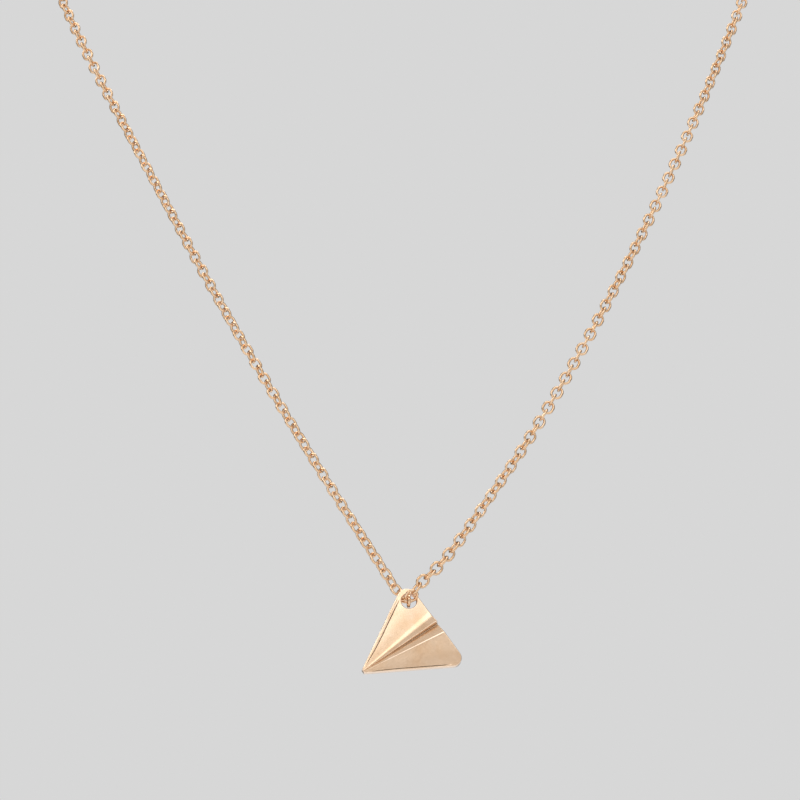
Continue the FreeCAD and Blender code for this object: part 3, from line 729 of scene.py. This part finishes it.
def pressed_dart(sizes):
    """The pendant: a front and a back raised over the same plan, and the walls between them."""
    edge, crown = sizes.edge / MM, sizes.crown / MM
    hems = ((1, sizes.hem / MM), (-1, sizes.low_hem / MM))
    flat, faces = dart_plan(edge, hems)
    bm = bmesh.new()
    wear_and_highlight = bm.verts.layers.float.new("wear_and_highlight")
    shaded_recess = bm.verts.layers.float.new("shaded_recess")
    fronts, backs = {}, {}
    for i in sorted({i for face in faces for i in face}):
        place = flat[i]
        grow = place.x / DART_LONG
        side = place.y / grow
        depth = edge_depth(place)
        near = max(0.0, edge - depth)
        drop = edge - math.sqrt(max(0.0, edge * edge - near * near))
        front = grow * soft_fold(FRONT_FOLDS, side)
        back = grow * soft_fold(BACK_FOLDS, side) - DART_SHEET
        low, high = CROWN_SIDES[1 if side > 0 else -1]
        if low < side < high:
            front += grow * crown * math.sin(math.pi * (side - low) / (high - low)) ** 2
        painted_shade = 0.0
        for way, width in hems:
            dip, groove_shade = hem_shape(place, way, width, sizes.hem_slope)
            front -= dip
            painted_shade = max(painted_shade, groove_shade)
        crest = max(0.0, *(1.0 - abs(side - at) / wide for at, wide in CRESTS))
        floor = max(0.0, 1.0 - abs(side - FOLD_FLOOR) / FLOOR_WIDTH)
        for store, height, sign in ((fronts, front - drop, 1), (backs, back + drop, -1)):
            vert = bm.verts.new(PENDANT_FRAME @ mm(place.x, place.y, height))
            # pale round the edges and along the front fold crests: partly wear, partly a painted
            # highlight
            vert[wear_and_highlight] = max(1.0 - depth / edge if depth < edge else 0.0,
                             crest * min(1.0, 3 * grow) if sign > 0 else 0.0)
            # the scored lines and the fold floor painted dark as shade
            vert[shaded_recess] = (max(painted_shade, FLOOR_SHADE * floor * min(1.0, 2 * grow))
                            if sign > 0 else 0.0)
            store[i] = vert
    rim = {}
    for face in faces:
        for a, b in zip(face, face[1:] + face[:1]):
            rim[(a, b)] = rim.get((a, b), 0) + 1
    for face in faces:
        bm.faces.new([fronts[i] for i in face])
        bm.faces.new([backs[i] for i in reversed(face)])
    for a, b in rim:
        if (b, a) not in rim:
            bm.faces.new((fronts[b], fronts[a], backs[a], backs[b]))
    for face in bm.faces:
        face.smooth = True
    bmesh.ops.recalc_face_normals(bm, faces=bm.faces)
    open_edges = sum(not e.is_manifold for e in bm.edges)
    if open_edges:
        raise RuntimeError(f"the pendant has {open_edges} open edges")
    mesh = bpy.data.meshes.new("dart_pendant")
    bm.to_mesh(mesh)
    bm.free()
    mesh.materials.append(plate_metal())
    piece = bpy.data.objects.new("dart_pendant_blank", mesh)
    bpy.context.scene.collection.objects.link(piece)
    weigh = piece.modifiers.new("weigh", "WEIGHTED_NORMAL")
    weigh.mode = "FACE_AREA"
    weigh.weight = FLAT_WEIGHT
    return baked(piece, "dart_pendant")


class NECKLACE_OT_pendant(Operator):
    """Presses the folded dart: soft folds, sloping hems, scored lines and polished edges"""

    bl_idname = "necklace.pendant"
    bl_label = "Dart pendant"

    def execute(self, context):
        piece = pressed_dart(context.scene.necklace_pendant)
        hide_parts("pendant")
        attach(piece, "pendant")
        return {"FINISHED"}


class NECKLACE_OT_clasp(Operator):
    """Finishes the lobster clasp: claw, trigger, pin and leaf spring"""

    bl_idname = "necklace.clasp"
    bl_label = "Clasp"

    def execute(self, context):
        edges = context.scene.necklace_edges
        claw = cast_copy("clasp_body", "clasp_claw", edges.grain, edges.clasp, clasp_metal())
        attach(claw, "necklace")
        arm = cast_copy("clasp_trigger", "clasp_arm", edges.grain, edges.trigger, clasp_metal())
        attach(arm, "clasp_trigger")
        for node in ("clasp_pin", "clasp_spring"):
            coat(node, steel_metal())
        return {"FINISHED"}


class NECKLACE_OT_rings(Operator):
    """Gives the rings, the hanger links, the extender and the drop their metal"""

    bl_idname = "necklace.rings"
    bl_label = "Rings, extender and drop"

    def execute(self, context):
        for node in ("left_hanger_link", "right_hanger_link", "centre_link", "left_end_ring",
                     "right_end_ring", "catch_ring", "extender_upper", "extender_middle",
                     "extender_lower", "drop_ring"):
            coat(node, chain_metal())
        coat("end_drop", plate_metal())
        return {"FINISHED"}


# --- studio -----------------------------------------------------------------------------------
# Lights: the place from the pendant's hole in metres, the size and the colour.
KEY_LIGHT = (0.134, -0.758, 0.445), (0.70, 0.42), (0.88, 0.97, 1.0)
FILL_LIGHT = (-0.70, -0.25, 0.55), (0.40, 0.60), (1.0, 0.98, 0.96)
# From the top of the necklace, and aimed at its middle.
TOP_LIGHT = (0.0, 0.1, 0.9), (0.8, 0.8), (1.0, 0.99, 0.97)
TOP_LIGHT_AIM = -80                            # millimetres
TOP_TO_FILL = 2                                # the top light's power, in fill lights
BRIGHT_SIDE = (0.10, -0.87, 0.48)              # the side of the room that metal mirrors brightly
CAMERA_AIM = (-1.06, 0, -145.0)                # millimetres


def add_light(name, place, target, size, power, colour):
    """A rectangular soft light at a place, turned to a target."""
    data = bpy.data.lights.new(name, "AREA")
    data.shape = "RECTANGLE"
    data.size, data.size_y = size
    data.energy = power
    data.color = colour
    light = bpy.data.objects.new(name, data)
    bpy.context.scene.collection.objects.link(light)
    light.location = place
    light.rotation_euler = (Vector(target) - Vector(place)).to_track_quat("-Z", "Y").to_euler()
    return light


class NECKLACE_OT_stage(Operator):
    """Sets up the pale floor, the soft studio light and the camera"""

    bl_idname = "necklace.stage"
    bl_label = "Floor, light and camera"

    def execute(self, context):
        studio = context.scene.necklace_studio
        backdrop = (*studio.backdrop, 1.0)
        bm = bmesh.new()
        bmesh.ops.create_circle(bm, cap_ends=True, segments=96, radius=6.0)
        mesh = bpy.data.meshes.new("studio_floor")
        bmesh.ops.translate(bm, verts=bm.verts, vec=(0.0, 0.0, studio.floor_level))
        bm.to_mesh(mesh)
        bm.free()
        floor = bpy.data.objects.new("studio_floor", mesh)
        context.scene.collection.objects.link(floor)
        paper = bpy.data.materials.new("studio_paper")
        paper.use_nodes = True
        shader = paper.node_tree.nodes["Principled BSDF"]
        shader.inputs["Base Color"].default_value = (0.80, 0.80, 0.80, 1.0)
        shader.inputs["Roughness"].default_value = 0.9
        mesh.materials.append(paper)

        world = bpy.data.worlds.new("studio_air")
        world.use_nodes = True
        air = world.node_tree
        air.nodes.clear()
        # seen plain and pale; metal mirrors a room that is light in front and dim behind
        way = air.nodes.new("ShaderNodeTexCoord").outputs["Generated"]
        ahead = add_node(air, "ShaderNodeVectorMath", operation="DOT_PRODUCT", in0=way,
                         in1=BRIGHT_SIDE)
        room = add_node(air, "ShaderNodeMapRange", Value=ahead.outputs["Value"], From_Min=-0.4,
                        From_Max=0.8, To_Min=studio.room_dim, To_Max=studio.room_light)
        lit = add_node(air, "ShaderNodeBackground", Color=(1.0, 0.965, 0.92, 1.0),
                       Strength=room.outputs[0])
        seen = add_node(air, "ShaderNodeBackground", Color=backdrop, Strength=1.0)
        even = add_node(air, "ShaderNodeBackground", Color=backdrop, Strength=1.15)
        rays = air.nodes.new("ShaderNodeLightPath").outputs
        plain = add_node(air, "ShaderNodeMixShader", in0=rays["Is Camera Ray"],
                         in1=even.outputs[0], in2=seen.outputs[0])
        both = add_node(air, "ShaderNodeMixShader", in0=rays["Is Glossy Ray"],
                        in1=plain.outputs[0], in2=lit.outputs[0])
        done = air.nodes.new("ShaderNodeOutputWorld")
        air.links.new(both.outputs[0], done.inputs[0])
        context.scene.world = world
        context.scene.view_settings.view_transform = "Standard"

        middle = mm(0, 0, -172)
        for name, (place, size, colour), power in (
                ("key_light", KEY_LIGHT, studio.key_power),
                ("fill_light", FILL_LIGHT, studio.fill_power)):
            add_light(name, middle + Vector(place), middle, size, power, colour)
        place, size, colour = TOP_LIGHT
        add_light("top_light", Vector(place), mm(0, 0, TOP_LIGHT_AIM), size,
                  studio.fill_power * TOP_TO_FILL, colour)

        data = bpy.data.cameras.new("studio_camera")
        data.lens = studio.lens
        data.sensor_width = 36.0
        data.clip_start, data.clip_end = 0.01, 20.0
        camera = bpy.data.objects.new("studio_camera", data)
        context.scene.collection.objects.link(camera)
        tilt = studio.camera_tilt
        aim = mm(*CAMERA_AIM)
        camera.location = aim - studio.camera_distance * Vector(
            (0.0, math.cos(tilt), math.sin(tilt)))
        camera.rotation_euler = (math.pi / 2 + tilt, 0.0, 0.0)
        context.scene.camera = camera
        return {"FINISHED"}


class NECKLACE_PT_build(Panel):
    """Lists the necklace's pieces in the order they are built"""

    bl_idname = "NECKLACE_PT_build"
    bl_label = "Necklace"
    bl_space_type = "VIEW_3D"
    bl_region_type = "UI"
    bl_category = "Necklace"

    def draw(self, context):
        scene = context.scene
        for settings, step in (
                (scene.necklace_chain, NECKLACE_OT_strands),
                (scene.necklace_pendant, NECKLACE_OT_pendant),
                (scene.necklace_edges, NECKLACE_OT_clasp),
                (scene.necklace_metals, NECKLACE_OT_rings),
                (scene.necklace_studio, NECKLACE_OT_stage)):
            box = self.layout.box()
            for name in settings.__annotations__:
                box.prop(settings, name)
            box.operator(step.bl_idname)


SETTINGS = {
    "necklace_chain": ChainSettings,
    "necklace_pendant": PendantSettings,
    "necklace_edges": EdgeSettings,
    "necklace_metals": MetalSettings,
    "necklace_studio": StudioSettings,
}
STEPS = (NECKLACE_OT_strands, NECKLACE_OT_pendant, NECKLACE_OT_clasp, NECKLACE_OT_rings,
         NECKLACE_OT_stage)


def register():
    for made in (*SETTINGS.values(), *STEPS, NECKLACE_PT_build):
        bpy.utils.register_class(made)
    for name, made in SETTINGS.items():
        setattr(bpy.types.Scene, name, PointerProperty(type=made))


def unregister():
    for name in SETTINGS:
        delattr(bpy.types.Scene, name)
    for made in reversed((*SETTINGS.values(), *STEPS, NECKLACE_PT_build)):
        bpy.utils.unregister_class(made)


def main():
    register()
    bpy.ops.necklace.strands()
    bpy.ops.necklace.pendant()
    bpy.ops.necklace.clasp()
    bpy.ops.necklace.rings()
    bpy.ops.necklace.stage()


if __name__ == "__main__":
    main()
